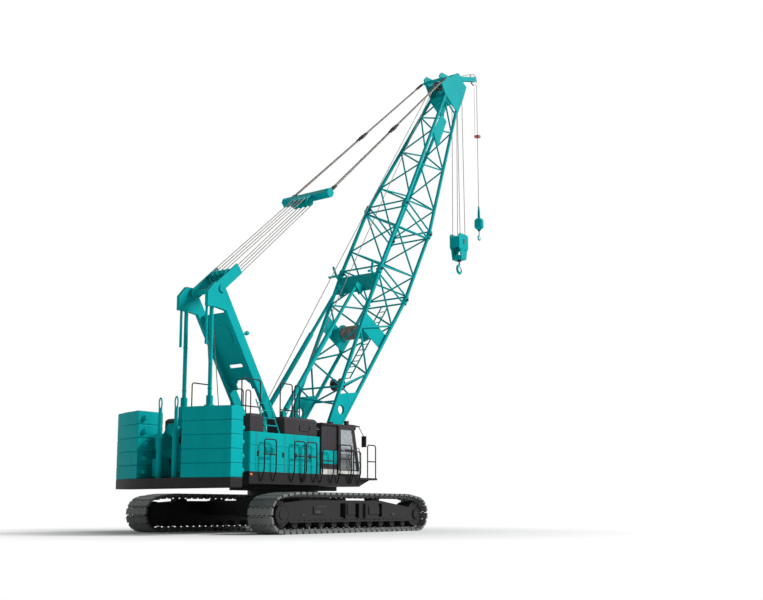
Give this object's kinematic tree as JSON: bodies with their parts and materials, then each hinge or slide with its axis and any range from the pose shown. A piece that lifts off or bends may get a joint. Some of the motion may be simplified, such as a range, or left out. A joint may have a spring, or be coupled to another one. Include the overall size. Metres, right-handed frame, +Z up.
{
  "type": "crawler crane",
  "caption": "Lattice boom crawler crane: slewing upper works with cab, gantry and stacked counterweight, luffing boom, main and auxiliary hooks on a tracked base.",
  "frame": {"origin": "point on the ground under the slewing axis", "axes": "+X forward towards the boom, +Y to the machine's left, +Z up along the slewing axis"},
  "size_m": [16.8628, 5.59, 18.3594],
  "materials": {
    "teal_paint": "gloss paint",
    "dark_paint": "satin paint",
    "black_paint": "satin paint",
    "track_steel": "worn cast steel",
    "bare_steel": "machined steel",
    "wire_rope": "greased wire",
    "window_glass": "clear",
    "seat_cloth": "woven"
  },
  "bodies": {
    "lower": {"track_right": "track_steel", "track_left": "track_steel", "side_frame_right": "black_paint", "side_frame_left": "black_paint", "drive_tumblers": "track_steel", "idlers": "track_steel", "travel_drives": "black_paint", "track_rollers": "track_steel", "carbody": "black_paint", "slew_ring": "black_paint"},
    "upper": {"main_frame": "black_paint", "boom_foot_pins": "bare_steel", "winch_drums": "black_paint", "side_deck_right": "black_paint", "side_deck_left": "black_paint", "house_right": "teal_paint", "house_left": "teal_paint", "engine_block": "black_paint", "cowls": "dark_paint", "fuel_tank": "teal_paint", "counterweight_base": "black_paint", "counterweight_stack_right": "teal_paint", "counterweight_stack_left": "teal_paint", "gantry_frame": "teal_paint", "gantry_posts": "teal_paint", "lift_cylinders": "teal_paint", "cab_shell": "dark_paint", "cab_glass": "window_glass", "cab_seat": "seat_cloth", "cab_console": "dark_paint", "front_platform": "black_paint", "handrails": "black_paint", "ladder": "teal_paint", "backstop_brackets": "teal_paint", "cab_fittings": "dark_paint"},
    "cab_door": {"cab_door": "dark_paint", "cab_door_glass": "window_glass"},
    "boom": {"boom_base": "teal_paint", "boom_insert": "teal_paint", "boom_top": "teal_paint", "boom_sheaves": "bare_steel", "aux_tip": "teal_paint", "aux_sheave": "bare_steel", "boom_winch": "teal_paint"},
    "suspension": {"suspension_block": "teal_paint", "block_sheaves": "bare_steel", "hoist_ropes": "wire_rope"},
    "spreader": {"spreader": "teal_paint", "pendants": "wire_rope"},
    "backstop_tubes": {"backstop_tubes": "teal_paint"},
    "backstop_rods": {"backstop_rods": "teal_paint"},
    "main_block": {"main_falls": "wire_rope", "main_block": "teal_paint"},
    "main_hook": {"main_hook": "teal_paint"},
    "aux_block": {"aux_rope": "wire_rope", "aux_weight": "teal_paint"},
    "aux_hook": {"aux_hook": "teal_paint"}
  },
  "joints": [
    {"name": "slew", "type": "hinge", "parent": "lower", "child": "upper", "pos_m": [0, 0, 1.19], "axis": [0, 0, 1], "continuous": true},
    {"name": "boom_luff", "type": "hinge", "parent": "upper", "child": "boom", "pos_m": [0.45, 0, 1.72], "axis": [0, -1, 0], "range_deg": [-30, 18]},
    {"name": "suspension_swing", "type": "hinge", "parent": "upper", "child": "suspension", "pos_m": [-3.35, 0, 6.7], "axis": [0, -1, 0], "range_deg": [-30.55, 18.73]},
    {"name": "spreader_slide", "type": "slide", "parent": "suspension", "child": "spreader", "axis": [0.7547, 0, 0.6561], "range_m": [-2.016, 3.294], "deforming": ["hoist_ropes"]},
    {"name": "backstop_swing", "type": "hinge", "parent": "upper", "child": "backstop_tubes", "pos_m": [-0.45, 0, 3.45], "axis": [0, -1, 0], "range_deg": [-33.85, 20.71]},
    {"name": "backstop_slide", "type": "slide", "parent": "backstop_tubes", "child": "backstop_rods", "axis": [0.6178, 0, 0.7863], "range_m": [-0.603, 0.972]},
    {"name": "main_hang", "type": "hinge", "parent": "boom", "child": "main_block", "pos_m": [10.19256, 0, 17.2146], "axis": [0, -1, 0], "range_deg": [-19, 31]},
    {"name": "main_hook_swivel", "type": "hinge", "parent": "main_block", "child": "main_hook", "pos_m": [10.19256, 0, 10.2243], "axis": [0, 0, 1], "continuous": true},
    {"name": "aux_hang", "type": "hinge", "parent": "boom", "child": "aux_block", "pos_m": [11.50012, 0, 18.09936], "axis": [0, -1, 0], "range_deg": [-19, 31]},
    {"name": "aux_hook_swivel", "type": "hinge", "parent": "aux_block", "child": "aux_hook", "pos_m": [11.74892, 0, 11.75906], "axis": [0, 0, 1], "continuous": true},
    {"name": "cab_door_slide", "type": "slide", "parent": "upper", "child": "cab_door", "axis": [-1, 0, 0], "range_m": [0, 0.7]}
  ],
  "couplings": [
    {"joint": "suspension_swing", "follows": "boom_luff", "ratio": 0.985},
    {"joint": "spreader_slide", "follows": "boom_luff", "m_per_rad": -6.1},
    {"joint": "backstop_swing", "follows": "boom_luff", "ratio": 1.095},
    {"joint": "backstop_slide", "follows": "boom_luff", "m_per_rad": -1.76},
    {"joint": "main_hang", "follows": "boom_luff", "ratio": -1},
    {"joint": "aux_hang", "follows": "boom_luff", "ratio": -1}
  ]
}
